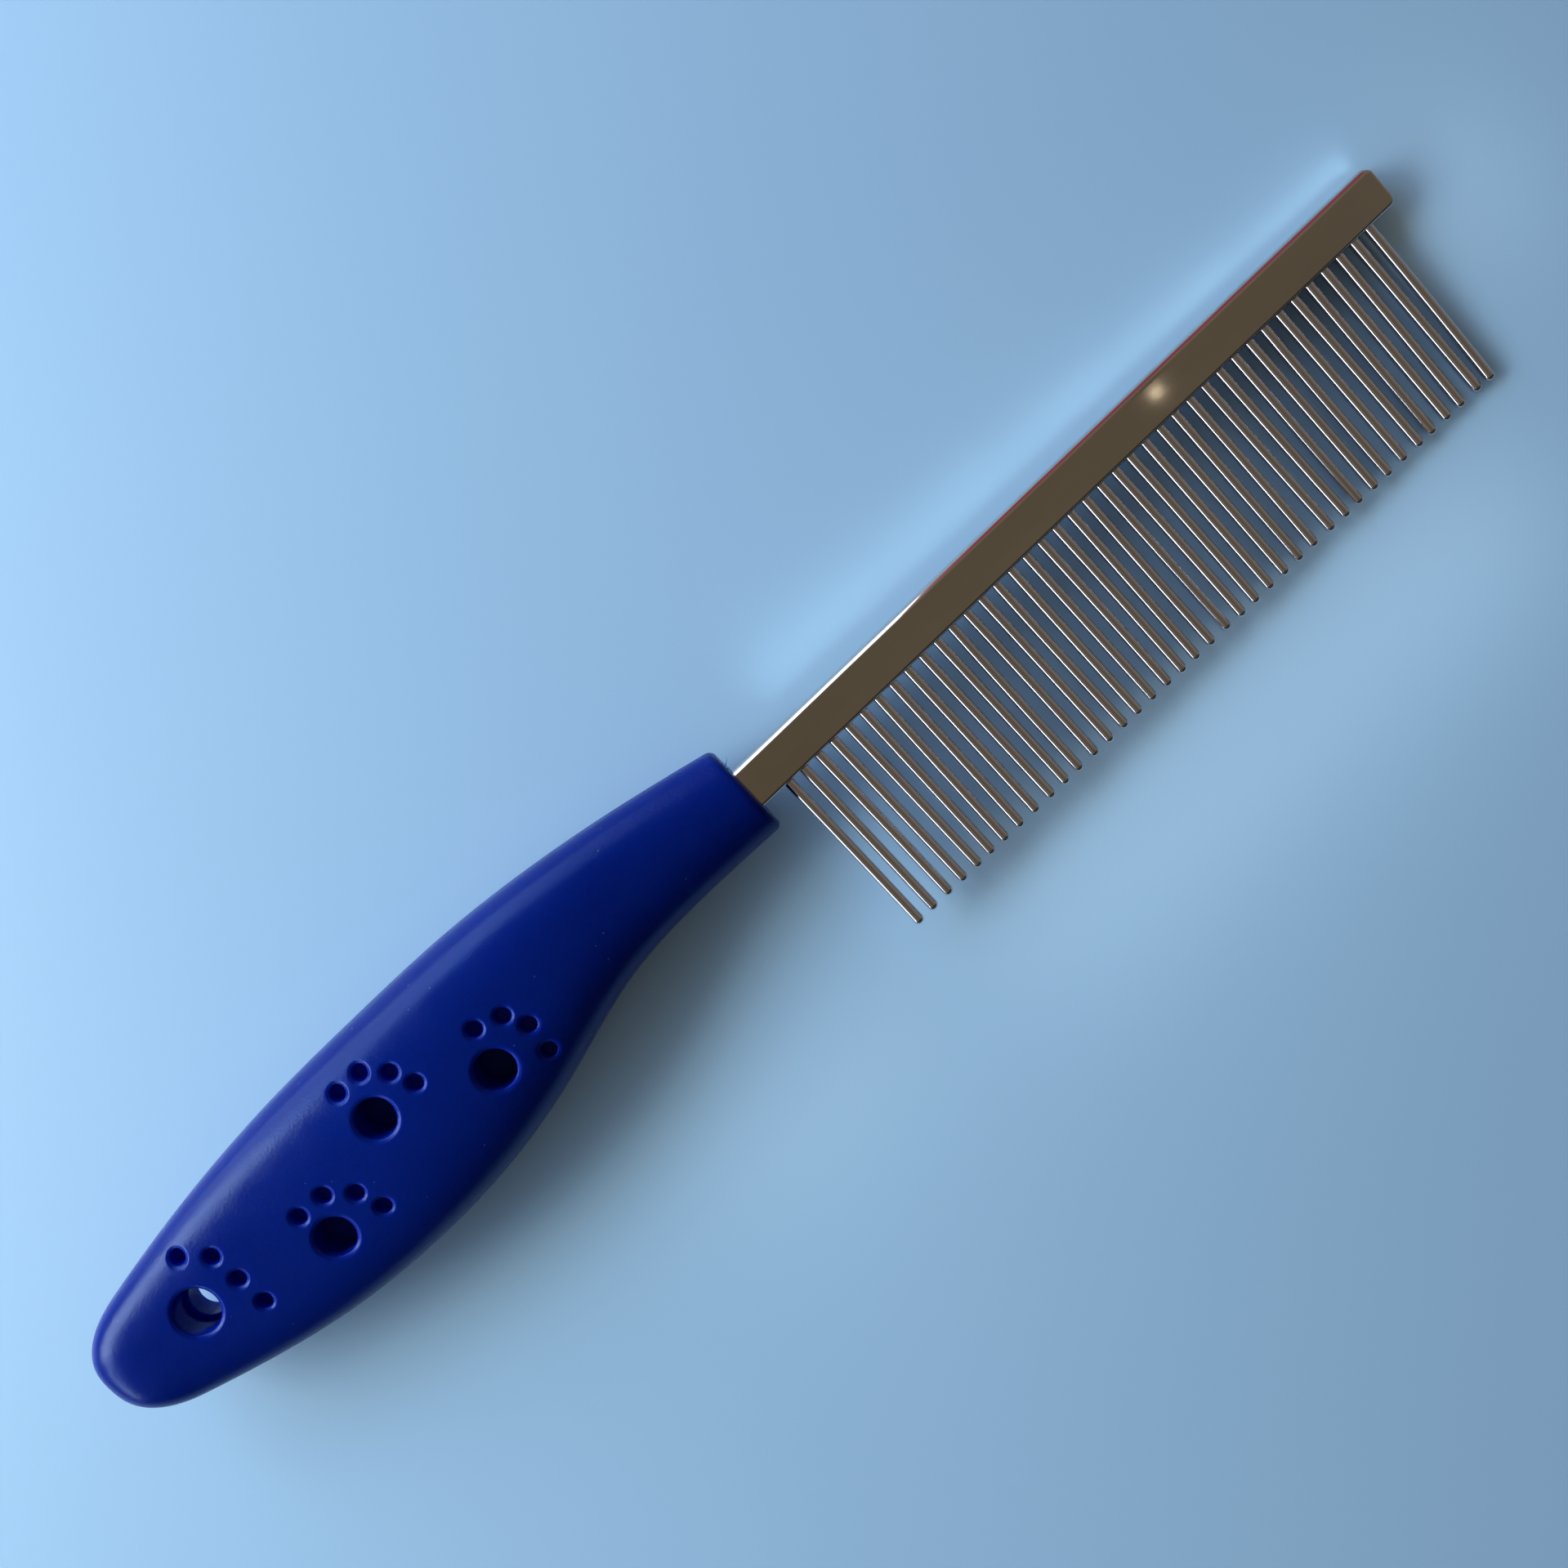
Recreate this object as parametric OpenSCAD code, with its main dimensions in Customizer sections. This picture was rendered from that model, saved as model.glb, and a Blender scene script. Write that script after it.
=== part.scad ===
// Steel grooming comb: a moulded handle on a steel bar that carries a row of round pins.
//
// Frame: the origin is the axis of the hanging hole at mid thickness. +X runs along the
// comb to the far end of the bar, +Z is the broad upper face, and the pins point to -Y.

/* [Handle] */
// From the butt of the handle to the axis of the hanging hole
butt_setback = 15.2; // [14.5:0.1:18]
// From the axis of the hanging hole to the collar face
collar_x = 86; // [84:0.5:92]
// Greatest width across the handle
handle_width = 25.3; // [24.8:0.1:28]
// Greatest thickness of the handle
handle_thick = 14.2; // [13.4:0.1:16]
// Squareness of the grip's cross-section: 2 is an ellipse
grip_power = 2.5; // [2:0.05:3]
// Squareness of the cross-section at the collar
collar_power = 2; // [2:0.05:3]
// Length of the rounded butt
butt_round = 8; // [6:0.5:9]
// Rounding of the collar's edge
collar_round = 0.8; // [0.4:0.1:1.2]

/* [Holes in the handle] */
// Radius of the hanging hole in the upper half of the mould
hang_r_upper = 2.8; // [2.7:0.05:3]
// Radius of the hanging hole in the lower half of the mould
hang_r_lower = 2.45; // [2.2:0.05:2.6]
// Half length of the straight wall of the hanging hole
hang_half_wall = 4; // [3.6:0.1:4.1]
// Radius of the deep round pads
pad_r = 2.5; // [2.2:0.05:2.6]
// Thickness of the web left between the pads of the two faces
pad_web = 1.6; // [1.2:0.1:3]
// Radius of the small round toes
toe_r = 1.1; // [0.9:0.05:1.2]
// Depth of the toes below the skin
toe_depth = 2; // [1:0.1:2.4]

/* [Bar] */
// Width of the bar, across the row of pins
bar_width = 5.4; // [5:0.1:6]
// Thickness of the bar
bar_thick = 3.2; // [3:0.1:3.6]
// Distance of the bar's pin edge below the axis of the hanging hole
bar_drop = 3.4; // [3.2:0.1:3.6]
// Radius of the long edges on the pin side
bar_pin_edge_r = 0.5; // [0.2:0.05:0.7]
// Radius of the long edges along the back
bar_back_edge_r = 0.95; // [0.4:0.05:1.3]
// Radius of the two corners at the far end
bar_corner_r = 1; // [0.5:0.1:1.5]
// Bar left beyond the last pin
bar_end_margin = 3.8; // [2:0.1:6]
// Length of the tang inside the handle
tang_len = 26; // [20:1:30]
// How much smaller each side of the tang is than the bar
tang_step = 0.1; // [0.05:0.05:0.3]
// Radius of the plug of plastic that locks the tang
lock_r = 1.3; // [0.8:0.1:1.5]

/* [Pins] */
// Number of pins
pin_count = 40; // [20:1:44]
// Distance between the axes of neighbouring pins
pin_pitch = 2.35; // [2.1:0.05:3]
// Diameter of a pin
pin_d = 1.3; // [1:0.05:1.5]
// Length of a pin outside the bar
pin_len = 22.8; // [15:0.1:28]
// Depth of the pins' sockets in the bar
pin_socket = 3.4; // [2:0.1:4]
// From the collar face to the axis of the first pin
first_pin_gap = 4; // [2.5:0.1:8]

/* [Hidden] */
// Handle outline: heights of evenly spaced spline points from the butt to the collar,
// above and below the axis of the hanging hole, for a handle outline_width wide.
outline_width = 25.3;
back_line = [6, 8.7, 10.6, 11.6, 11.6, 11.6, 10.4, 8.3, 5.4];
belly_line = [-5.7, -9.8, -13, -14, -13.6, -11.2, -6.7, -6.2, -6.6];
// Half thickness at the same points, for a handle outline_thick thick.
outline_thick = 14.2;
crown_line = [4, 4.4, 5.3, 6.4, 7.2, 7.2, 6.4, 5.3, 4.6];
butt_power = 2.8;
// Where the cross-section starts to change towards the collar's.
neck_x = 56;

// Paws: the centre of a pad, then the bearing and the distance of each of its toes.
// The hanging hole is the pad of the last one.
paws = [
    [[44.2, -3.3], [[72, 5.2], [38, 6.2], [10, 6.3], [-25, 6.2]]],
    [[30.8, 2], [[104, 5.1], [66, 5.4], [29, 5.5], [-1, 6.1]]],
    [[17.7, -4.6], [[105, 4.7], [60, 5.1], [21, 5.8], [-10, 6.6]]],
    [[0, 0], [[65, 6.6], [30, 6.8], [-4, 6.3], [-34, 7.8]]],
];

handle_len = butt_setback + collar_x;
bar_y = bar_width / 2 - bar_drop;
bar_end_x = collar_x + first_pin_gap + (pin_count - 1) * pin_pitch + bar_end_margin;
shoulder_gap = 0.4;
shoulder_x = collar_x + shoulder_gap;
tang_end_x = collar_x - tang_len;
lock_setback = 6;
lock_x = tang_end_x + lock_setback;
pin_tip_y = -bar_drop - pin_len;
cut_reach = handle_thick;
mouth_flare = 1.6;

hang_facets = 64;
hole_facets = 48;
edge_facets = 32;
pin_facets = 32;

// Points in a ring round the handle, and rings in each stretch of it.
around = 40;
butt_rings = 8;
body_rings = 36;
collar_rings = 4;
first_ring = 0.02;

function pin_name(k) = str("pin_", k < 10 ? "0" : "", k);
function pin_x(k) = collar_x + first_pin_gap + (k - 1) * pin_pitch;

// Uniform cubic B-spline through a list of heights, straight at both ends.
function spline(points, s) =
    let (
        last = len(points) - 1,
        u = min(max(s, 0), 1) * last,
        i = min(floor(u), last - 1),
        t = u - i,
        before = i == 0 ? 2 * points[0] - points[1] : points[i - 1],
        after = i + 2 > last ? 2 * points[last] - points[last - 1] : points[i + 2]
    )
    (pow(1 - t, 3) * before + (3 * pow(t, 3) - 6 * t * t + 4) * points[i]
        + (3 * t + 3 * t * t - 3 * pow(t, 3) + 1) * points[i + 1] + pow(t, 3) * after) / 6;

// Share of the full size that the rounded butt leaves, d from its end.
function butt_share(d) =
    d >= butt_round ? 1 : pow(1 - pow(1 - d / butt_round, butt_power), 1 / butt_power);

// What the rounded collar edge takes off, d from the collar face.
function collar_cut(d) =
    d >= collar_round ? 0 : collar_round - sqrt(pow(collar_round, 2) - pow(collar_round - d, 2));

function along(x) = (x + butt_setback) / handle_len;
function back_y(x) = spline(back_line, along(x)) * handle_width / outline_width;
function belly_y(x) = spline(belly_line, along(x)) * handle_width / outline_width;
function mid_y(x) = (back_y(x) + belly_y(x)) / 2;
function half_width(x) =
    (back_y(x) - belly_y(x)) / 2 * butt_share(x + butt_setback) - collar_cut(collar_x - x);
function half_thick(x) =
    spline(crown_line, along(x)) * handle_thick / outline_thick * butt_share(x + butt_setback)
        - collar_cut(collar_x - x);

// Squareness of the cross-section at x.
function power(x) =
    let (share = min(max((x - neck_x) / (collar_x - neck_x), 0), 1))
    grip_power + (collar_power - grip_power) * share;

// Height of the handle's skin above mid thickness.
function skin_z(x, y) =
    half_thick(x) * pow(1 - pow(abs(y - mid_y(x)) / half_width(x), power(x)), 1 / power(x));

function bent(v, n) = sign(v) * pow(abs(v), 2 / n);
function ring(x) = [for (j = [0:around - 1])
    let (a = 360 * j / around, n = power(x))
    [x, mid_y(x) + half_width(x) * bent(cos(a), n), half_thick(x) * bent(sin(a), n)]];

butt_x = [for (i = [1:butt_rings]) butt_round * (1 - cos(90 * i / butt_rings)) - butt_setback];
body_start = butt_round - butt_setback;
body_step = (collar_x - collar_round - body_start) / body_rings;
body_x = [for (i = [1:body_rings]) body_start + i * body_step];
collar_edge_x = [for (i = [1:collar_rings])
    collar_x - collar_round * (1 - sin(90 * i / collar_rings))];
ring_x = concat([first_ring - butt_setback], butt_x, body_x, collar_edge_x);

// Solid of the handle before its holes: rings of points joined into a closed skin.
module handle_blank() {
    rings = len(ring_x);
    skin_points = [for (x = ring_x) each ring(x)];
    sides = [for (i = [0:rings - 2], j = [0:around - 1])
        let (
            a = i * around + j,
            b = i * around + (j + 1) % around
        )
        each [[a, b + around, b], [a, a + around, b + around]]];
    butt_cap = [for (j = [0:around - 1]) j];
    collar_cap = [for (j = [around - 1:-1:0]) (rings - 1) * around + j];
    polyhedron(skin_points, concat([butt_cap], sides, [collar_cap]));
}

// A round blind hole from the upper skin down to bottom_z.
module moulded_hole(x, y, r, bottom_z) {
    translate([x, y, bottom_z]) cylinder(r = r, h = cut_reach, $fn = hole_facets);
}

// One half of the hanging hole: a straight wall up from mid thickness and a flared mouth.
module hanging_half(r) {
    cylinder(r = r, h = hang_half_wall, $fn = hang_facets);
    translate([0, 0, hang_half_wall])
        cylinder(r1 = r, r2 = r + mouth_flare, h = mouth_flare, $fn = hang_facets);
}

module hanging_hole() {
    hanging_half(hang_r_upper);
    mirror([0, 0, 1]) hanging_half(hang_r_lower);
}

// Pads and toes of the upper face.
module paw_holes() {
    for (i = [0:len(paws) - 1]) {
        pad = paws[i][0];
        if (i < len(paws) - 1) moulded_hole(pad.x, pad.y, pad_r, pad_web / 2);
        for (toe = paws[i][1]) {
            x = pad.x + toe[1] * cos(toe[0]);
            y = pad.y + toe[1] * sin(toe[0]);
            moulded_hole(x, y, toe_r, skin_z(x, y) - toe_depth);
        }
    }
}

// Two rounded corners of the bar's section, at y = -reach and y = reach.
module corner_pair(x, reach, r) {
    for (side = [-1, 1]) translate([x, side * reach]) circle(r, $fn = edge_facets);
}

// Section of the bar, smaller by inset on every side, its back to +X here. It is made of
// plain pieces, so that its corners are true arcs.
module bar_section(inset) {
    half_w = bar_width / 2 - inset;
    half_h = bar_thick / 2 - inset;
    back_r = bar_back_edge_r - inset;
    pin_r = bar_pin_edge_r - inset;
    flat_w = 2 * half_w - back_r - pin_r;
    translate([pin_r - half_w, -half_h]) square([flat_w, 2 * half_h]);
    translate([-half_w, pin_r - half_h]) square([half_w, 2 * (half_h - pin_r)]);
    translate([0, back_r - half_h]) square([half_w, 2 * (half_h - back_r)]);
    corner_pair(half_w - back_r, half_h - back_r, back_r);
    corner_pair(pin_r - half_w, half_h - pin_r, pin_r);
}

// A length of bar between two places along X, smaller by inset on every side.
module bar_length(x0, x1, inset) {
    translate([x0, bar_y, 0]) rotate([90, 0, 90]) linear_extrude(x1 - x0)
        bar_section(inset);
}

module lock_plug() {
    translate([lock_x, bar_y, -bar_thick])
        cylinder(r = lock_r, h = 2 * bar_thick, $fn = hole_facets);
}

module tang() {
    difference() {
        bar_length(tang_end_x, shoulder_x, tang_step);
        lock_plug();
    }
}

module handle() {
    color([0.03, 0.09, 0.42]) difference() {
        handle_blank();
        hanging_hole();
        paw_holes();
        mirror([0, 0, 1]) paw_holes();
        tang();
    }
}

// Outline of the bar seen from above, with two rounded corners at the far end.
module bar_outline() {
    half = bar_width / 2;
    translate([0, -half]) square([bar_end_x - bar_corner_r, bar_width]);
    translate([0, -half + bar_corner_r])
        square([bar_end_x, bar_width - 2 * bar_corner_r]);
    for (side = [-1, 1])
        translate([bar_end_x - bar_corner_r, side * (half - bar_corner_r)])
            circle(bar_corner_r, $fn = hole_facets);
}

module bar() {
    color([0.5, 0.47, 0.42]) difference() {
        union() {
            tang();
            intersection() {
                bar_length(shoulder_x, bar_end_x, 0);
                translate([0, bar_y, -bar_thick]) linear_extrude(2 * bar_thick) bar_outline();
            }
        }
        for (k = [1:pin_count]) pin_shank(k, pin_socket);
    }
}

// Straight stretch of pin k, length long from the bottom of its socket.
module pin_shank(k, length) {
    translate([pin_x(k), pin_socket - bar_drop, 0]) rotate([90, 0, 0])
        cylinder(d = pin_d, h = length, $fn = pin_facets);
}

module pin(k) {
    color([0.75, 0.75, 0.76]) {
        pin_shank(k, pin_socket + pin_len - pin_d / 2);
        translate([pin_x(k), pin_tip_y + pin_d / 2, 0]) sphere(d = pin_d, $fn = pin_facets);
    }
}

handle();
bar();
for (k = [1:pin_count]) pin(k);
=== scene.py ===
import math

import bmesh
import bpy
import numpy as np
from mathutils import Matrix, Vector
from mathutils.geometry import delaunay_2d_cdt


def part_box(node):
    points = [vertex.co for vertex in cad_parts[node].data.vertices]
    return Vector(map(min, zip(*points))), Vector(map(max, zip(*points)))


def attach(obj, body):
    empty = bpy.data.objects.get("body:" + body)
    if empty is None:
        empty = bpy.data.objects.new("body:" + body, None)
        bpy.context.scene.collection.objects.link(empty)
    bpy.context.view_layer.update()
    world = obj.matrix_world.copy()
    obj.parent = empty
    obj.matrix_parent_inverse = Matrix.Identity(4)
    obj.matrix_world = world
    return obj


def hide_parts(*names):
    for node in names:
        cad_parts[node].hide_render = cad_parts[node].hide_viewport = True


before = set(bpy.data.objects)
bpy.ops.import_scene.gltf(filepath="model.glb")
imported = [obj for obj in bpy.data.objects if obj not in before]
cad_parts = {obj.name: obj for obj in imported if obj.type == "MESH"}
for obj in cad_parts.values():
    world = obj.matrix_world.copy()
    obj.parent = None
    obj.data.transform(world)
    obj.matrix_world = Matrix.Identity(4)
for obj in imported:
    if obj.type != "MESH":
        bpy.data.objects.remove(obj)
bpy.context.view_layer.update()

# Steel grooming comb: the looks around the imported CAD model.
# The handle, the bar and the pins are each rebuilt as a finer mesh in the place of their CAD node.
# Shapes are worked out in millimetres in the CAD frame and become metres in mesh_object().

MM = 0.001


def box_mm(node):
    """Lowest and highest corner of a CAD node, in millimetres."""
    low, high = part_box(node)
    return np.array(low) / MM, np.array(high) / MM


# ---------------------------------------------------------------- sizes from the frame
handle_low, handle_high = box_mm("handle")
bar_low, bar_high = box_mm("bar")
pin_names = sorted(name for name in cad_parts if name.startswith("pin_"))
first_pin_low, first_pin_high = box_mm(pin_names[0])
last_pin_low, last_pin_high = box_mm(pin_names[-1])

BUTT_X, COLLAR_X = handle_low[0], handle_high[0]
HANDLE_LEN = COLLAR_X - BUTT_X
BAR_END_X = bar_high[0]
BAR_Y = (bar_low[1] + bar_high[1]) / 2
BAR_HALF_WIDTH = (bar_high[1] - bar_low[1]) / 2
BAR_HALF_THICK = (bar_high[2] - bar_low[2]) / 2
PIN_R = (first_pin_high[0] - first_pin_low[0]) / 2
PIN_TIP_Y = first_pin_low[1]

# ---------------------------------------------------------------- handle: driving numbers
# Heights of evenly spaced spline points from the butt to the collar, in millimetres.
BACK_LINE = [6, 8.7, 10.6, 11.6, 11.6, 11.6, 10.4, 8.3, 5.4]
BELLY_LINE = [-5.7, -9.8, -13, -14, -13.6, -11.2, -6.7, -6.2, -6.6]
CROWN_LINE = [4, 4.4, 5.3, 6.4, 7.2, 7.2, 6.4, 5.3, 4.6]
# Squareness of the section at the grip, up to NECK_X, and at the collar.
GRIP_POWER, COLLAR_POWER, NECK_X = 2.5, 2.0, 56.0
BUTT_ROUND, BUTT_POWER = 8.0, 2.8
COLLAR_ROUND = 0.8
# The moulded parting line, and how far inside the CAD skin this skin stays.
SEAM_HEIGHT, SEAM_WIDTH = 0.05, 0.06
SKIN_INSET = 0.002

HANG_R_UPPER, HANG_R_LOWER = 2.8, 2.45
PAD_R, PAD_FLOOR_Z = 2.4, 0.8
TOE_R, TOE_DEPTH = 0.95, 2.0
HANG_RIM, PAD_RIM, TOE_RIM = 0.6, 0.65, 0.55
# How strongly the walls of each kind of hole are painted with a glow: a lighter blue base colour
# that stands in for light coming through the plastic.
HANG_PAINTED_GLOW, PAD_PAINTED_GLOW, TOE_PAINTED_GLOW = 0.45, 0.35, 1.0
# How strongly the handle and the hanging hole's duller wall reflect.
HANDLE_SPECULAR, BORE_SPECULAR = 0.11, 0.03
# Faces this near the hanging hole's wall are finished as its wall.
BORE_MARGIN = 0.02
# Centre of each pad, then the bearing and the distance of each of its toes.
# The hanging hole is the pad of the last paw.
PAWS = [
    ((44.2, -3.3), ((72, 5.2), (38, 6.2), (10, 6.3), (-25, 6.2))),
    ((30.8, 2.0), ((104, 5.1), (66, 5.4), (29, 5.5), (-1, 6.1))),
    ((17.7, -4.6), ((105, 4.7), (60, 5.1), (21, 5.8), (-10, 6.6))),
    ((0.0, 0.0), ((65, 6.6), (30, 6.8), (-4, 6.3), (-34, 7.8))),
]

# ---------------------------------------------------------------- bar and pins: driving numbers
BAR_PIN_EDGE_R, BAR_BACK_EDGE_R, BAR_END_EDGE_R, BAR_CORNER_R = 0.5, 0.95, 0.35, 1.0
PIN_TIP_LEN = 0.62
# Every pin leans a little towards the handle, and the last has been knocked further over.
# PIN_LEAN_DEG is the usual size of each pin's own lean, and PIN_BOW that of its bend.
ROW_LEAN_DEG, PIN_LEAN_DEG = -0.45, 0.3
LAST_PIN_LEAN_DEG = -1.6
PIN_BOW = 0.12
PIN_SEED = 11


# ---------------------------------------------------------------- helpers
# Points closer than this, in metres, become one.
SAME_POINT = 1e-7


def mesh_object(name, points_mm, faces, material):
    """A mesh object from points in millimetres, with its faces turned outwards."""
    mesh = bpy.data.meshes.new(name)
    mesh.from_pydata([tuple(np.asarray(p) * MM) for p in points_mm], [], faces)
    work = bmesh.new()
    work.from_mesh(mesh)
    bmesh.ops.remove_doubles(work, verts=work.verts, dist=SAME_POINT)
    bmesh.ops.recalc_face_normals(work, faces=work.faces)
    for face in work.faces:
        face.smooth = True
    work.to_mesh(mesh)
    work.free()
    mesh.materials.append(material)
    piece = bpy.data.objects.new(name, mesh)
    bpy.context.scene.collection.objects.link(piece)
    return piece


def strip_faces(first, second):
    """Quads between two closed rows of point numbers."""
    count = len(first)
    return [
        (first[j], first[(j + 1) % count], second[(j + 1) % count], second[j])
        for j in range(count)
    ]


def fan_faces(ring, centre):
    """Triangles from a closed row of point numbers to a centre point."""
    count = len(ring)
    return [(ring[j], ring[(j + 1) % count], centre) for j in range(count)]


def spline(heights, share):
    """Uniform cubic B-spline through a list of heights, straight at both ends."""
    h = np.array(heights, float)
    h = np.concatenate([[2 * h[0] - h[1]], h, [2 * h[-1] - h[-2]]])
    last = len(heights) - 1
    u = np.clip(share, 0, 1) * last
    i = np.minimum(np.floor(u).astype(int), last - 1)
    t = u - i
    return (
        (1 - t) ** 3 * h[i]
        + (3 * t**3 - 6 * t**2 + 4) * h[i + 1]
        + (-3 * t**3 + 3 * t**2 + 3 * t + 1) * h[i + 2]
        + t**3 * h[i + 3]
    ) / 6


# ---------------------------------------------------------------- handle: shape functions
SKIN_BUTT_X = BUTT_X + SEAM_HEIGHT


def along(x):
    """Share of the handle's length passed at x."""
    return (np.asarray(x, float) - BUTT_X) / HANDLE_LEN


def end_share(x):
    """Share of the full section that the rounded butt leaves."""
    d = np.clip((np.asarray(x, float) - SKIN_BUTT_X) / BUTT_ROUND, 0, 1)
    return (1 - (1 - d) ** BUTT_POWER) ** (1 / BUTT_POWER)


def collar_cut(x):
    """What the rounded collar edge takes off each half size."""
    d = np.clip(COLLAR_X - np.asarray(x, float), 0, COLLAR_ROUND)
    return COLLAR_ROUND - np.sqrt(COLLAR_ROUND**2 - (COLLAR_ROUND - d) ** 2)


def mid_y(x):
    """Middle of the outline at x."""
    return (spline(BACK_LINE, along(x)) + spline(BELLY_LINE, along(x))) / 2


def half_width(x):
    """Half of the skin's width at x, inside the parting line."""
    full = (spline(BACK_LINE, along(x)) - spline(BELLY_LINE, along(x))) / 2
    return (full - SEAM_HEIGHT - SKIN_INSET) * end_share(x) - collar_cut(x)


def half_thick(x):
    """Half of the skin's thickness at x."""
    return (spline(CROWN_LINE, along(x)) - SKIN_INSET) * end_share(x) - collar_cut(x)


def power(x):
    """Squareness of the cross-section: 2 is an ellipse."""
    share = np.clip((np.asarray(x, float) - NECK_X) / (COLLAR_X - NECK_X), 0, 1)
    return GRIP_POWER + (COLLAR_POWER - GRIP_POWER) * share


def skin_z(x, y):
    """Height of the handle's skin above mid thickness."""
    side = np.clip(np.abs(y - mid_y(x)) / np.maximum(half_width(x), SKIN_INSET), 0, 1)
    return half_thick(x) * (1 - side ** power(x)) ** (1 / power(x))


SECTION_SAMPLES = 721


def section(x):
    """Upper half of the section at x: y, z and length along the skin from the back seam."""
    angle = np.linspace(0, math.pi, SECTION_SAMPLES)
    bend = 2 / power(x)
    y = mid_y(x) + half_width(x) * np.sign(np.cos(angle)) * np.abs(np.cos(angle)) ** bend
    z = half_thick(x) * np.abs(np.sin(angle)) ** bend
    z[-1] = 0
    length = np.concatenate([[0], np.cumsum(np.hypot(np.diff(y), np.diff(z)))])
    return y, z, length


def skin_share(x, y):
    """Place of a skin point across the section, from 0 at the back seam to 1 at the belly seam."""
    sy, _, length = section(x)
    return np.interp(-y, -sy, length) / length[-1]


# ---------------------------------------------------------------- handle: holes
TOE_SIDES, PAD_SIDES, TOE_R_LIMIT = 32, 64, 2


def holes():
    """Every blind hole in a face: centre, wall radius, rim width, strength of the painted glow on
    its walls and floor height.
    """
    found = []
    for i, ((px, py), toes) in enumerate(PAWS):
        if i < len(PAWS) - 1:
            pad = {"r": PAD_R, "rim": PAD_RIM, "painted_glow": PAD_PAINTED_GLOW}
            found.append({"at": (px, py), "floor": PAD_FLOOR_Z, **pad})
        for bearing, reach in toes:
            x = px + reach * math.cos(math.radians(bearing))
            y = py + reach * math.sin(math.radians(bearing))
            floor = float(skin_z(x, y)) - TOE_DEPTH
            toe = {"r": TOE_R, "rim": TOE_RIM, "painted_glow": TOE_PAINTED_GLOW}
            found.append({"at": (x, y), "floor": floor, **toe})
    return found


def ring_count(r):
    """Points in the ring of a hole."""
    return TOE_SIDES if r < TOE_R_LIMIT else PAD_SIDES


def circle_xy(at, r, count):
    """Places of the points of a circle."""
    turn = np.arange(count) * 2 * math.pi / count
    return at[0] + r * np.cos(turn), at[1] + r * np.sin(turn)


class Skin:
    """Collects the points and faces of one half of the handle."""

    def __init__(self):
        self.points = []
        self.faces = []

    def add(self, x, y, z):
        self.points.append((float(x), float(y), float(z)))
        return len(self.points) - 1

    def join(self, first, second):
        self.faces += strip_faces(first, second)

    def disc(self, ring, at, z):
        self.faces += fan_faces(ring, self.add(at[0], at[1], z))


# Rim profile, as shares of the rim's width: a rounded lead-in, a sloping flat, a rounded drop.
RIM_SLOPE = math.radians(29)
RIM_LEAD, RIM_FLAT_END = 0.4, 0.75
RIM_STEPS, WALL_STEPS = 4, 5
FLOOR_CORNER, FLOOR_CORNER_STEPS = 0.2, 3


def rim_profile():
    """Points of a rim from the skin to the wall: share of its width passed, and drop."""
    lead_r = RIM_LEAD / math.sin(RIM_SLOPE)
    drop_r = (1 - RIM_FLAT_END) / (1 - math.sin(RIM_SLOPE))
    points = []
    for step in range(1, RIM_STEPS + 1):
        turn = RIM_SLOPE * step / RIM_STEPS
        points.append((lead_r * math.sin(turn), lead_r * (1 - math.cos(turn))))
    lead_drop = points[-1][1]
    flat_drop = lead_drop + (RIM_FLAT_END - RIM_LEAD) * math.tan(RIM_SLOPE)
    points.append(((RIM_LEAD + RIM_FLAT_END) / 2, (lead_drop + flat_drop) / 2))
    for step in range(2 * RIM_STEPS + 1):
        turn = RIM_SLOPE + (math.pi / 2 - RIM_SLOPE) * step / (2 * RIM_STEPS)
        points.append(
            (
                RIM_FLAT_END + drop_r * (math.sin(turn) - math.sin(RIM_SLOPE)),
                flat_drop + drop_r * (math.cos(RIM_SLOPE) - math.cos(turn)),
            )
        )
    return points


def rim_and_wall(skin, hole, mouth):
    """Rim and straight wall below a mouth ring, down to just above the floor."""
    at, r, rim = hole["at"], hole["r"], hole["rim"]
    above = mouth
    for share, drop in rim_profile():
        xs, ys = circle_xy(at, r + rim * (1 - share), len(mouth))
        zs = skin_z(xs, ys) - rim * drop
        ring = [skin.add(*p) for p in zip(xs, ys, zs)]
        skin.join(above, ring)
        above = ring
    top = np.array([skin.points[i][2] for i in above])
    bottom = 0.0 if hole["floor"] is None else hole["floor"] + FLOOR_CORNER
    for step in range(1, WALL_STEPS + 1):
        share = step / WALL_STEPS
        xs, ys = circle_xy(at, r, len(mouth))
        ring = [skin.add(*p) for p in zip(xs, ys, top + (bottom - top) * share)]
        skin.join(above, ring)
        above = ring
    return above


def blind_floor(skin, hole, above):
    """Rounded inner corner and level floor of a blind hole."""
    at, r, floor = hole["at"], hole["r"], hole["floor"]
    for step in range(1, FLOOR_CORNER_STEPS + 1):
        turn = math.pi / 2 * step / FLOOR_CORNER_STEPS
        ring_r = r - FLOOR_CORNER * (1 - math.cos(turn))
        z = floor + FLOOR_CORNER * (1 - math.sin(turn))
        xs, ys = circle_xy(at, ring_r, len(above))
        ring = [skin.add(x, y, z) for x, y in zip(xs, ys)]
        skin.join(above, ring)
        above = ring
    skin.disc(above, at, floor)


# ---------------------------------------------------------------- handle: skin
# Rings along the handle: spacing of the body's, how many round the butt and the collar, and the
# place of the first one at the butt as a share of a step.
SKIN_STEP = 0.6
BUTT_STATIONS, COLLAR_STATIONS, FIRST_BUTT_STEP = 22, 8, 0.35
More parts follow.
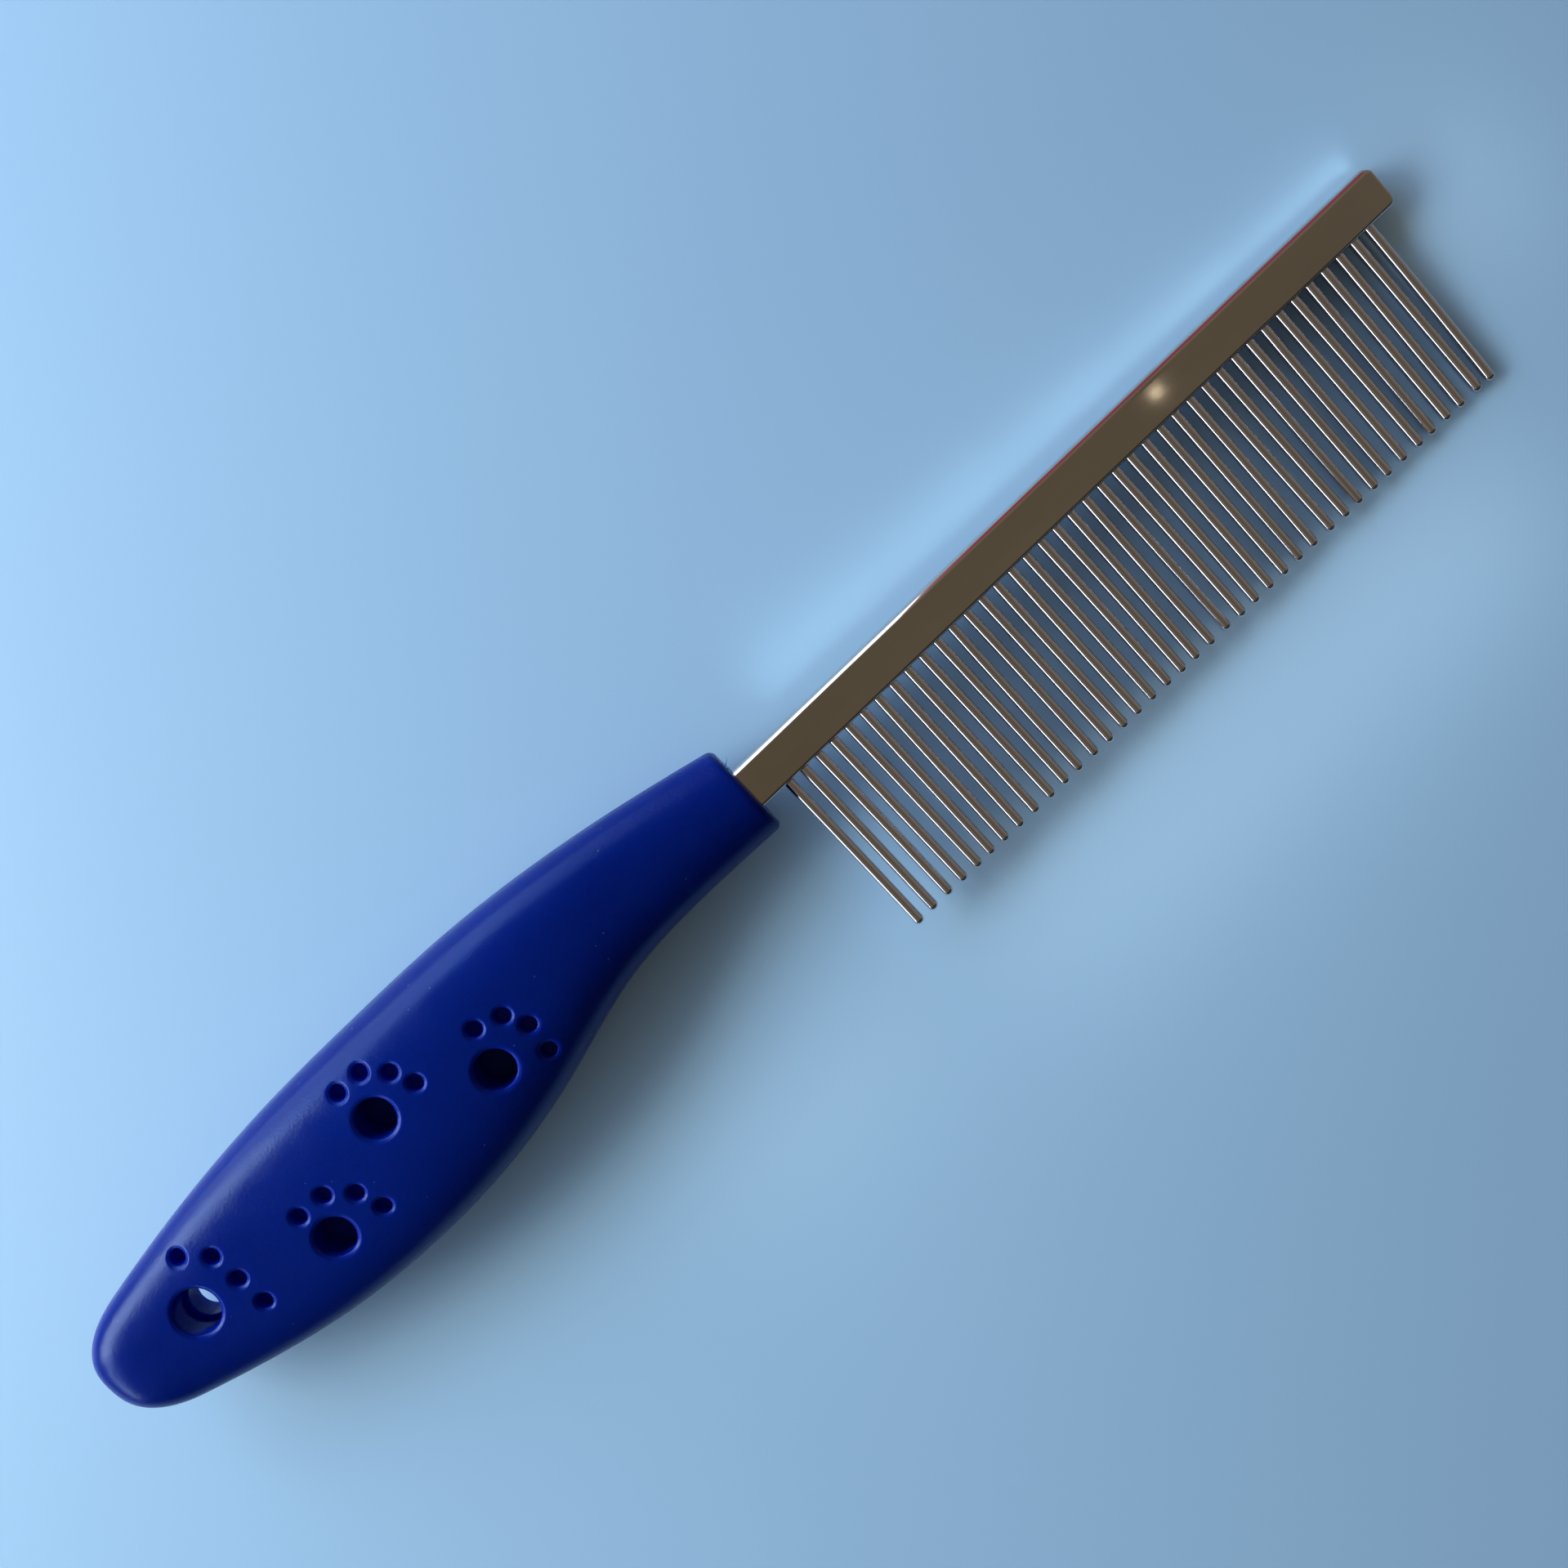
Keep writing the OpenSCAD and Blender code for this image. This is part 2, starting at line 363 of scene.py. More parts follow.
# Rows across the skin: distances from the seam of those that shape the parting line, the most
# of the skin's length they may take, and the number of rows between them.
SEAM_ROWS = np.array([0.0, 0.02, 0.045, 0.075, 0.12, 0.2, 0.35])
SEAM_SHARE_LIMIT = 0.06
INNER_ROWS = 49
FIRST_INNER = len(SEAM_ROWS) - 1
LAST_INNER = FIRST_INNER + INNER_ROWS - 1
# The stretch of skin that holds the holes is laid out flat, FLAT_WIDTH across, to be divided into
# triangles. Grid points stay CLEAR_OF_HOLE from a rim, and a guard ring outside each rim keeps
# RIM_CLEARANCE from the others.
HOLED_FROM_X, HOLED_TO_X = -7.0, 54.0
FLAT_WIDTH = 30.0
FLAT_EPSILON = 1e-6
CLEAR_OF_HOLE = 0.45
GUARD_RING = 0.3
RIM_CLEARANCE = 0.12
# What delaunay_2d_cdt returns: every triangle, or those inside the outline only.
EVERYTHING, INSIDE = 0, 1


def stations():
    """Places of the rings along the handle, close together at the butt and the collar."""
    turn = (np.arange(BUTT_STATIONS) + FIRST_BUTT_STEP) / BUTT_STATIONS * math.pi / 2
    butt = SKIN_BUTT_X + BUTT_ROUND * (1 - np.cos(turn))
    start, end = SKIN_BUTT_X + BUTT_ROUND, COLLAR_X - COLLAR_ROUND
    body = np.linspace(start, end, int((end - start) / SKIN_STEP) + 1)
    turn = np.arange(1, COLLAR_STATIONS + 1) / COLLAR_STATIONS * math.pi / 2
    collar = COLLAR_X - COLLAR_ROUND * (1 - np.sin(turn))
    return np.concatenate([butt, body, collar])


def row_shares(total):
    """Places of the rows across a section of skin length total, as shares of it."""
    scale = min(1.0, SEAM_SHARE_LIMIT * total / SEAM_ROWS[-1])
    near = SEAM_ROWS * scale / total
    inner = np.linspace(near[-1], 1 - near[-1], INNER_ROWS)
    return np.concatenate([near[:-1], inner, 1 - near[-2::-1]])


def seam_bead(grid):
    """Pushes the rows next to mid thickness out into a fine parting line."""
    for row in list(range(FIRST_INNER + 1)) + list(range(LAST_INNER, grid.shape[1])):
        side = grid[:, 0] if row <= FIRST_INNER else grid[:, -1]
        step = np.gradient(side[:, :2], axis=0)
        out = np.stack([step[:, 1], -step[:, 0]], 1)
        out /= np.linalg.norm(out, axis=1)[:, None]
        if row <= FIRST_INNER:
            out = -out
        rise = SEAM_HEIGHT * np.exp(-((grid[:, row, 2] / SEAM_WIDTH) ** 2))
        grid[:, row, :2] += out * rise[:, None]


def skin_grid():
    """Points of the upper half of the skin as stations by rows."""
    places = stations()
    rows = []
    for x in places:
        y, z, length = section(x)
        want = row_shares(length[-1]) * length[-1]
        rows.append(
            np.stack(
                [np.full(len(want), x), np.interp(want, length, y), np.interp(want, length, z)], 1
            )
        )
    grid = np.array(rows)
    grid[:, 0, 2] = 0
    grid[:, -1, 2] = 0
    seam_bead(grid)
    return places, grid


def clear_of_others(x, y, cut, cuts):
    """Whether a point near one hole stays outside the rims of all the others."""
    return all(
        other is cut
        or math.hypot(x - other["at"][0], y - other["at"][1])
        > other["r"] + other["rim"] + RIM_CLEARANCE
        for other in cuts
    )


def holed_band(skin, places, number, cuts):
    """Triangles over the stretch of skin that holds the holes, with their mouth rings."""
    first = int(np.searchsorted(places, HOLED_FROM_X))
    last = int(np.searchsorted(places, HOLED_TO_X))
    flat, point_of = [], []
    for i in range(first, last + 1):
        for row in range(FIRST_INNER, LAST_INNER + 1):
            if number[i, row] >= 0:
                share = (row - FIRST_INNER) / (INNER_ROWS - 1)
                flat.append((places[i], share * FLAT_WIDTH))
                point_of.append(int(number[i, row]))
    edges, ring_of = [], {}
    for cut in cuts:
        rim_r = cut["r"] + cut["rim"]
        for r, bound in ((rim_r, True), (rim_r + GUARD_RING, False)):
            xs, ys = circle_xy(cut["at"], r, ring_count(cut["r"]))
            if not bound:
                clear = np.array([clear_of_others(x, y, cut, cuts) for x, y in zip(xs, ys)])
                xs, ys = xs[clear], ys[clear]
            zs = skin_z(xs, ys)
            ring = [skin.add(*p) for p in zip(xs, ys, zs)]
            start = len(flat)
            for x, y, point in zip(xs, ys, ring):
                total = section(x)[2][-1]
                near = min(SEAM_ROWS[-1], SEAM_SHARE_LIMIT * total) / total
                share = (skin_share(x, y) - near) / (1 - 2 * near)
                flat.append((x, share * FLAT_WIDTH))
                point_of.append(point)
            if bound:
                count = len(ring)
                edges += [(start + j, start + (j + 1) % count) for j in range(count)]
                ring_of.update({start + j: id(cut) for j in range(count)})
                cut["mouth"] = ring
    _, _, faces, origins, _, _ = delaunay_2d_cdt(
        [Vector(p) for p in flat], edges, [], EVERYTHING, FLAT_EPSILON
    )
    for face in faces:
        source = [origins[v][0] for v in face]
        rings = {ring_of.get(s) for s in source}
        if len(rings) == 1 and None not in rings:
            continue
        skin.faces.append(tuple(point_of[s] for s in source))
    return first, last


def half_skin(hang_r):
    """Upper half of the handle: skin, pads, toes and its half of the hanging hole. Returns it
    with the point numbers along the butt, along the collar and round the hanging hole."""
    skin = Skin()
    places, grid = skin_grid()
    cuts = holes() + [{"at": (0.0, 0.0), "r": hang_r, "rim": HANG_RIM, "floor": None}]
    number = np.full(grid.shape[:2], -1)
    for i in range(grid.shape[0]):
        for row in range(grid.shape[1]):
            x, y, z = grid[i, row]
            inner = FIRST_INNER < row < LAST_INNER
            near = any(
                math.hypot(x - c["at"][0], y - c["at"][1]) < c["r"] + c["rim"] + CLEAR_OF_HOLE
                for c in cuts
            )
            if not (inner and near):
                number[i, row] = skin.add(x, y, z)
    first, last = holed_band(skin, places, number, cuts)
    for i in range(grid.shape[0] - 1):
        for row in range(grid.shape[1] - 1):
            if first <= i < last and FIRST_INNER <= row < LAST_INNER:
                continue
            skin.faces.append(
                (number[i, row], number[i, row + 1], number[i + 1, row + 1], number[i + 1, row])
            )
    for cut in cuts[:-1]:
        blind_floor(skin, cut, rim_and_wall(skin, cut, cut["mouth"]))
    hang_ring = rim_and_wall(skin, cuts[-1], cuts[-1]["mouth"])
    return skin, [int(n) for n in number[0]], [int(n) for n in number[-1]], hang_ring


COLLAR_SOCKET_DEPTH = 2.0
SOCKET_GAP, SOCKET_CORNER_STEPS = 0.04, 6


def rounded_rect(half_w, half_h, r):
    """Points of a rounded rectangle round the origin."""
    points = []
    for quarter, (sx, sy) in enumerate(((1, 1), (-1, 1), (-1, -1), (1, -1))):
        for step in range(SOCKET_CORNER_STEPS + 1):
            turn = (quarter + step / SOCKET_CORNER_STEPS) * math.pi / 2
            points.append(
                (sx * (half_w - r) + r * math.cos(turn), sy * (half_h - r) + r * math.sin(turn))
            )
    return points


def collar_face(points, faces, outer):
    """Flat front face round the bar, and the wall of the socket behind it."""
    loop = [
        (BAR_Y + y, z)
        for y, z in rounded_rect(
            BAR_HALF_WIDTH + SOCKET_GAP, BAR_HALF_THICK + SOCKET_GAP, BAR_PIN_EDGE_R
        )
    ]
    mouth, back = [], []
    for y, z in loop:
        mouth.append(len(points))
        points.append((COLLAR_X, y, z))
    for y, z in loop:
        back.append(len(points))
        points.append((COLLAR_X - COLLAR_SOCKET_DEPTH, y, z))
    faces += strip_faces(mouth, back)
    faces.append(tuple(back))
    flat = [Vector(points[i][1:]) for i in outer + mouth]
    split = len(outer)
    edges = [(j, (j + 1) % split) for j in range(split)]
    inner = len(mouth)
    edges += [(split + j, split + (j + 1) % inner) for j in range(inner)]
    _, _, found, origins, _, _ = delaunay_2d_cdt(flat, edges, [], INSIDE, FLAT_EPSILON)
    numbers = outer + mouth
    for face in found:
        source = [origins[v][0] for v in face]
        if min(source) >= split:
            continue
        faces.append(tuple(numbers[s] for s in source))


# The painted glow mark rises to WALL_SHARE over the first stretch of depth and to 1 over the
# second.
PAINTED_LIGHT_MARK = "painted_wall_light"
WALL_FROM, WALL_TO, WALL_SHARE = 0.25, 0.9, 0.6
DEEP_FROM, DEEP_TO = 0.8, 3.5


def paint_wall_light(mesh):
    """Point attribute of painted glow, rising from 0 on the skin to a hole's glow deep inside it.
    """
    where = np.empty(len(mesh.vertices) * 3)
    mesh.vertices.foreach_get("co", where)
    x, y, z = where.reshape(-1, 3).T / MM
    depth = skin_z(x, y) - np.abs(z)
    painted_light_share = np.zeros(len(x))
    hanging = {"at": (0.0, 0.0), "r": HANG_R_UPPER, "rim": HANG_RIM, "painted_glow": HANG_PAINTED_GLOW}
    for cut in holes() + [hanging]:
        in_cut = np.hypot(x - cut["at"][0], y - cut["at"][1]) < cut["r"] + cut["rim"] / 2
        near = np.clip((depth - WALL_FROM) / (WALL_TO - WALL_FROM), 0, 1)
        deep = np.clip((depth - DEEP_FROM) / (DEEP_TO - DEEP_FROM), 0, 1)
        rise = WALL_SHARE * near + (1 - WALL_SHARE) * deep
        painted_light_share = np.where(in_cut, cut["painted_glow"] * rise, painted_light_share)
    mark = mesh.attributes.new(PAINTED_LIGHT_MARK, "FLOAT", "POINT")
    mark.data.foreach_set("value", painted_light_share)


# Fine hairs of moulding flash on the collar's face: y and z, the tip's offset from there, and
# the radius at the root. FLASH_TAPER is the share of the radius lost at the tip.
FLASH_ROOT_DEPTH = 0.5
FLASH_SIDES, FLASH_STOPS, FLASH_TAPER = 8, 9, 0.85
FLASH_HAIRS = [
    ((3.1, 2.9), (0.9, 0.75, -0.7), 0.08),
    ((2.75, 2.6), (0.35, -0.05, 0.3), 0.09),
    ((3.5, 2.5), (0.15, 0.1, 0.2), 0.07),
    ((-3.6, 2.9), (0.12, -0.1, 0.15), 0.07),
]


def flash_hair(points, faces, place, offset, r):
    """A curved hair that tapers from inside the collar to a point."""
    foot = np.array([COLLAR_X, *place])
    start = foot - np.array([FLASH_ROOT_DEPTH, 0, 0])
    end = foot + np.array(offset)
    middle = foot + np.array([offset[0] / 2, 0, 0])
    rows = []
    for s in np.linspace(0, 1, FLASH_STOPS):
        at = (1 - s) ** 2 * start + 2 * s * (1 - s) * middle + s**2 * end
        row = []
        for j in range(FLASH_SIDES):
            turn = 2 * math.pi * j / FLASH_SIDES
            row.append(len(points))
            ring = np.array([0, math.cos(turn), math.sin(turn)])
            points.append(tuple(at + ring * r * (1 - FLASH_TAPER * s)))
        rows.append(row)
    for first, second in zip(rows, rows[1:]):
        faces += strip_faces(first, second)
    faces.append(tuple(rows[0]))
    faces.append(tuple(rows[-1][::-1]))


def build_flash(material):
    """The hairs of flash, all in one piece."""
    points, faces = [], []
    for place, offset, r in FLASH_HAIRS:
        flash_hair(points, faces, place, offset, r)
    return mesh_object("collar_flash", points, faces, material)


def build_handle(material, bore_material):
    """Both halves of the handle, joined along the seam, at the step in the hanging hole,
    at the butt and round the collar face."""
    upper, upper_butt, upper_collar, upper_hang = half_skin(HANG_R_UPPER)
    lower, lower_butt, lower_collar, lower_hang = half_skin(HANG_R_LOWER)
    offset = len(upper.points)
    points = upper.points + [(x, y, -z) for x, y, z in lower.points]
    faces = upper.faces + [tuple(i + offset for i in face) for face in lower.faces]
    faces += strip_faces(upper_hang, [i + offset for i in lower_hang])
    butt_loop = upper_butt[:-1] + [i + offset for i in lower_butt[:0:-1]]
    tip = len(points)
    points.append((SKIN_BUTT_X, float(mid_y(SKIN_BUTT_X)), 0.0))
    faces += fan_faces(butt_loop, tip)
    collar_loop = upper_collar[:-1] + [i + offset for i in lower_collar[:0:-1]]
    collar_face(points, faces, collar_loop)
    handle = mesh_object("handle_shell", points, faces, material)
    paint_wall_light(handle.data)
    handle.data.materials.append(bore_material)
    for face in handle.data.polygons:
        if math.hypot(face.center.x, face.center.y) < (HANG_R_UPPER + BORE_MARGIN) * MM:
            face.material_index = 1
    return handle


# ---------------------------------------------------------------- bar
BAR_STATIONS, CORNER_STEPS, EDGE_STEPS = 60, 10, 7
# How far the bar stays from the bottom of its socket, and its last outline point from the corner.
BAR_ROOT_GAP, CORNER_LEAD = 0.3, 0.2
# Extra outlines this far inside each flat face keep its shading flat.
FLAT_HOLD = 0.03


def edge_inset(z, r):
    """What a rounded edge of radius r takes off at height z."""
    over = max(0.0, abs(z) - (BAR_HALF_THICK - r))
    return r - math.sqrt(max(0.0, r * r - over * over))


def bar_outline(z, inset):
    """Outline of the bar at height z, with two rounded far corners; inset draws it in."""
    start = COLLAR_X - COLLAR_SOCKET_DEPTH + BAR_ROOT_GAP
    corner_x, corner_y = BAR_END_X - BAR_CORNER_R, BAR_HALF_WIDTH - BAR_CORNER_R
    end_cut = edge_inset(z, BAR_END_EDGE_R) + inset
    halves = []
    for side, r in ((1, BAR_BACK_EDGE_R), (-1, BAR_PIN_EDGE_R)):
        cut = edge_inset(z, r) + inset
        half = BAR_HALF_WIDTH - cut
        reach_x, reach_y = BAR_CORNER_R - end_cut, BAR_CORNER_R - cut
        side_xs = np.linspace(start, corner_x - CORNER_LEAD, BAR_STATIONS)
        points = [(x, side * half) for x in side_xs]
        for step in range(CORNER_STEPS + 1):
            turn = math.pi / 2 * (1 - step / CORNER_STEPS)
            points.append(
                (
                    corner_x + reach_x * math.cos(turn),
                    side * (corner_y + reach_y * math.sin(turn)),
                )
            )
        halves.append(points)
    return [(x, BAR_Y + y) for x, y in halves[0] + halves[1][::-1]]


def bar_levels():
    """Heights of the outlines, close together over each rounded edge."""
    levels = set()
    for r in (BAR_PIN_EDGE_R, BAR_BACK_EDGE_R):
        for step in range(EDGE_STEPS + 1):
            turn = math.pi / 2 * step / EDGE_STEPS
            levels.add(round(BAR_HALF_THICK - r * (1 - math.sin(turn)), 4))
        levels.add(round(BAR_HALF_THICK - r - FLAT_HOLD, 4))
    levels = sorted(levels)
    return [-z for z in levels[::-1]] + levels


def build_bar(material):
    """Flat bar with a round back and softer pin-side edges, as outlines from below to above."""
    points, faces, rows = [], [], []
    levels = [(z, 0.0) for z in bar_levels()]
    levels = [(levels[0][0], FLAT_HOLD)] + levels + [(levels[-1][0], FLAT_HOLD)]
    for z, inset in levels:
        row = []
        for x, y in bar_outline(z, inset):
            row.append(len(points))
            points.append((x, y, z))
        rows.append(row)
    for below, above in zip(rows, rows[1:]):
        faces += strip_faces(below, above)
    for row in (rows[0], rows[-1]):
        half = len(row) // 2
        faces += [(row[j], row[j + 1], row[-2 - j], row[-1 - j]) for j in range(half - 1)]
    return mesh_object("bar_polished", points, faces, material)


# ---------------------------------------------------------------- pins
PIN_SIDES = 32
PIN_ROOT_DEPTH = 0.5
# Shares of the shaft's length at which it has a ring, closer together at the root; then the
# number of rings over the tip, and how blunt the tip is.
PIN_ROOT_RINGS = [0, 0.005, 0.01]
PIN_FIRST_RING, PIN_SHAFT_RINGS = 0.05, 14
PIN_TIP_RINGS, PIN_TIP_POWER = 8, 0.8


def build_pin(name, x, lean, bow, material):
    """A round pin from just inside the bar to its rounded tip, a little out of true."""
    root_y = bar_low[1] + PIN_ROOT_DEPTH
    shaft_end = PIN_TIP_Y + PIN_TIP_LEN
    length = root_y - shaft_end
    shares = PIN_ROOT_RINGS + list(np.linspace(PIN_FIRST_RING, 1, PIN_SHAFT_RINGS))
    stops = [(root_y - length * s, PIN_R) for s in shares]
    for turn in np.linspace(0, math.pi / 2, PIN_TIP_RINGS + 1)[1:-1]:
        tip_r = PIN_R * math.cos(turn) ** PIN_TIP_POWER
        stops.append((shaft_end - PIN_TIP_LEN * math.sin(turn), tip_r))
    points, faces, rows = [], [], []
    for y, r in stops:
        s = (root_y - y) / (root_y - PIN_TIP_Y)
        cx = x + lean[0] * s + bow[0] * s * (1 - s)
        cz = lean[1] * s + bow[1] * s * (1 - s)
        row = []
        for j in range(PIN_SIDES):
            turn = 2 * math.pi * j / PIN_SIDES
            row.append(len(points))
            points.append((cx + r * math.cos(turn), y, cz + r * math.sin(turn)))
        rows.append(row)
    for above, below in zip(rows, rows[1:]):
        faces += strip_faces(above, below)
    root, tip = (x, root_y, 0.0), (x + lean[0], PIN_TIP_Y, lean[1])
    for row, middle in ((rows[0], root), (rows[-1], tip)):
        faces += fan_faces(row, len(points))
        points.append(middle)
    return mesh_object(name, points, faces, material)


def build_pins(material):
    """The whole row, each pin leaning by its own fraction of a degree."""
    chance = np.random.default_rng(PIN_SEED)
    reach = abs(PIN_TIP_Y - bar_low[1])
    most = reach * math.tan(math.radians(2 * PIN_LEAN_DEG))
    pins = []
    for name in pin_names:
        low, high = box_mm(name)
        x = (low[0] + high[0]) / 2
        lean = chance.normal(0, reach * math.tan(math.radians(PIN_LEAN_DEG)), 2)
        bow = chance.normal(0, PIN_BOW, 2)
        lean = np.clip(lean, -most, most)
        lean[0] += reach * math.tan(math.radians(ROW_LEAN_DEG))
        if name == pin_names[-1]:
            lean[0] = reach * math.tan(math.radians(LAST_PIN_LEAN_DEG))
        pins.append((name, build_pin(name + "_steel", x, lean, bow, material)))
    return pins


# ---------------------------------------------------------------- materials
# Nearly all noise lies between these two values. ROUGH_NOISE has sharper detail than usual.
NOISE_LOW, NOISE_HIGH = 0.3, 0.7
ROUGH_NOISE = 0.6


def new_material(name):
    """A node material, with its tree and its shader."""
    material = bpy.data.materials.new(name)
    material.use_nodes = True
    tree = material.node_tree
    shader = tree.nodes["Principled BSDF"]
    return material, tree, shader


def add_node(tree, kind, inputs=None, **settings):
    """A node with some of its inputs and settings filled in."""
    node = tree.nodes.new(kind)
    for key, value in settings.items():
        setattr(node, key, value)
    for key, value in (inputs or {}).items():
        node.inputs[key].default_value = value
    return node


def place(tree, scale):
    """Object coordinates, stretched by scale along each axis."""
    where = add_node(tree, "ShaderNodeTexCoord")
    stretch = add_node(tree, "ShaderNodeMapping", {"Scale": scale})
    tree.links.new(where.outputs["Object"], stretch.inputs["Vector"])
    return stretch.outputs["Vector"]


def noise(tree, scale, detail=3.0, roughness=0.5, stretch=(1, 1, 1)):
    """Noise with so many cells to the metre."""
    node = add_node(
        tree, "ShaderNodeTexNoise", {"Scale": scale, "Detail": detail, "Roughness": roughness}
    )
    tree.links.new(place(tree, stretch), node.inputs["Vector"])
    return node.outputs["Fac"]


def ramp(tree, value, stops):
    """Colour ramp: stops are (position, colour) pairs, and a plain number is a grey."""
    stops = [(at, (c, c, c) if isinstance(c, (int, float)) else c) for at, c in stops]
    node = add_node(tree, "ShaderNodeValToRGB")
    elements = node.color_ramp.elements
    elements[0].position, elements[0].color = stops[0][0], (*stops[0][1], 1)
    elements[1].position, elements[1].color = stops[-1][0], (*stops[-1][1], 1)
    for position, colour in stops[1:-1]:
        element = elements.new(position)
        element.color = (*colour, 1)
    tree.links.new(value, node.inputs["Fac"])
    return node.outputs["Color"]


def mix(tree, factor, first, second, blend="MIX"):
    """Colour mix of two colours or sockets; factor is a number or a socket."""
    node = add_node(tree, "ShaderNodeMix", data_type="RGBA", blend_type=blend)
    for key, value in (("Factor", factor), ("A", first), ("B", second)):
        if isinstance(value, bpy.types.NodeSocket):
            tree.links.new(value, node.inputs[key])
        else:
            node.inputs[key].default_value = value
    return node.outputs["Result"]


def spread(tree, value, low, high, from_low=NOISE_LOW, from_high=NOISE_HIGH):
    """Maps a value between from_low and from_high onto a range of plain numbers."""
    node = add_node(
        tree,
        "ShaderNodeMapRange",
        {"From Min": from_low, "From Max": from_high, "To Min": low, "To Max": high},
    )
    tree.links.new(value, node.inputs["Value"])
    return node.outputs["Result"]


def bump(tree, height, distance, strength=1.0, below=None):
    """Bump of so many metres, on top of another bump if there is one below it."""
    node = add_node(tree, "ShaderNodeBump", {"Distance": distance, "Strength": strength})
    tree.links.new(height, node.inputs["Height"])
    if below is not None:
        tree.links.new(below, node.inputs["Normal"])
    return node.outputs["Normal"]


# Cells to the metre of the plastic's cloudiness, gloss, grain and sink marks.
CLOUD_SCALE, GLOSS_SCALE, GRAIN_SCALE, SINK_SCALE = 60.0, 300.0, 2800.0, 250.0
SKIN_BLUES = [(NOISE_LOW, (0.0003, 0.0085, 0.150)), (NOISE_HIGH, (0.0005, 0.0110, 0.178))]
# Painted glow: the lighter blue that hole walls are given in place of light coming through the
# plastic.
PAINTED_GLOW_BLUE = (0.0, 0.004, 0.5, 1.0)
# Specks of dust: cells to the metre, size range as shares of a cell, and how opaque they are.
DUST_SCALE, DUST_SIZES, DUST_COVER = 420.0, (0.02, 0.05), 0.22
DUST_GREY = (0.35, 0.4, 0.5, 1.0)
PLASTIC_ROUGHNESS = (0.20, 0.27)
GRAIN_BUMP, SINK_BUMP = 0.000024, 0.00004
PLASTIC_IOR = 1.7
REFLECTION_TINT = (0.38, 0.6, 1.0, 1.0)
# How far red, green and blue light spreads inside the plastic, in millimetres.
LIGHT_SPREAD = (0.15, 0.5, 3.0)


def handle_plastic(name, specular):
    """Deep blue moulded plastic: fine grain, faint cloudiness, satin gloss, a little dust, and
    some translucency for thin rims; the glow of the hole walls is painted into the base colour."""
    material, tree, shader = new_material(name)
    skin = ramp(tree, noise(tree, CLOUD_SCALE, 4.0, ROUGH_NOISE), SKIN_BLUES)
    # Painted glow: the painted glow mark mixes the hole walls towards a lighter blue.
    wall = add_node(tree, "ShaderNodeAttribute", attribute_name=PAINTED_LIGHT_MARK)
    colour = mix(tree, wall.outputs["Fac"], skin, PAINTED_GLOW_BLUE)
    specks = add_node(tree, "ShaderNodeTexVoronoi", {"Scale": DUST_SCALE})
    tree.links.new(place(tree, (1, 1, 1)), specks.inputs["Vector"])
    dust = spread(tree, specks.outputs["Distance"], DUST_COVER, 0.0, *DUST_SIZES)
    tree.links.new(mix(tree, dust, colour, DUST_GREY), shader.inputs["Base Color"])
    gloss = spread(tree, noise(tree, GLOSS_SCALE, 3.0), *PLASTIC_ROUGHNESS)
    tree.links.new(gloss, shader.inputs["Roughness"])
    grain = bump(tree, noise(tree, GRAIN_SCALE, 2.0, ROUGH_NOISE), GRAIN_BUMP)
    sinks = bump(tree, noise(tree, SINK_SCALE, 2.0), SINK_BUMP, 1.0, grain)
    tree.links.new(sinks, shader.inputs["Normal"])
    shader.inputs["IOR"].default_value = PLASTIC_IOR
    shader.inputs["Specular Tint"].default_value = REFLECTION_TINT
    shader.inputs["Specular IOR Level"].default_value = specular
    shader.inputs["Subsurface Weight"].default_value = 1.0
    shader.inputs["Subsurface Radius"].default_value = LIGHT_SPREAD
    shader.inputs["Subsurface Scale"].default_value = MM
    return material


# Cells to the metre of the steel's cloudiness, streaks, pits and waves.
TONE_SCALE, STREAK_SCALE, PIT_SCALE, WAVE_SCALE = 90.0, 700.0, 5000.0, 300.0
# Finishes of the bar and the pins: darkest and lightest colour, lowest and highest roughness,
# how the pattern is stretched along the piece, and the depths of its pits and waves in metres.
BAR_FINISH = {
    "colours": ((0.60, 0.545, 0.51), (0.70, 0.645, 0.60)),
    "roughness": (0.04, 0.06),
    "stretch": (0.3, 1, 1),
    "pits": 0.00000015,
    "waves": 0.0000014,
}
PIN_FINISH = {
    "colours": ((0.64, 0.61, 0.65), (0.71, 0.68, 0.72)),
    "roughness": (0.07, 0.13),
    "stretch": (1, 0.1, 1),
    "pits": 0.0000006,
    "waves": 0.0000010,
}


def polished_steel(name, finish):
    """Plated steel with faint streaks along its length and tiny pits."""
    material, tree, shader = new_material(name)
    shader.inputs["Metallic"].default_value = 1.0
    dark, light = finish["colours"]
    stretch = finish["stretch"]
    tone = noise(tree, TONE_SCALE, 4.0, ROUGH_NOISE, stretch)
    colour = ramp(tree, tone, [(NOISE_LOW, dark), (NOISE_HIGH, light)])
    tree.links.new(colour, shader.inputs["Base Color"])
    streak = noise(tree, STREAK_SCALE, 3.0, ROUGH_NOISE, stretch)
    tree.links.new(spread(tree, streak, *finish["roughness"]), shader.inputs["Roughness"])
    pits = bump(tree, noise(tree, PIT_SCALE, 2.0, ROUGH_NOISE), finish["pits"])
    wavy = noise(tree, WAVE_SCALE, 3.0, 0.5, stretch)
    waves = bump(tree, wavy, finish["waves"], 1.0, pits)
    tree.links.new(waves, shader.inputs["Normal"])
    return material


TABLE_SCALE, TABLE_GRAIN_SCALE = 9.0, 900.0
TABLE_BLUES = [(NOISE_LOW, (0.305, 0.50, 0.725)), (NOISE_HIGH, (0.315, 0.515, 0.735))]
TABLE_ROUGHNESS, TABLE_BUMP, TABLE_BUMP_STRENGTH = 0.45, 0.00003, 0.3


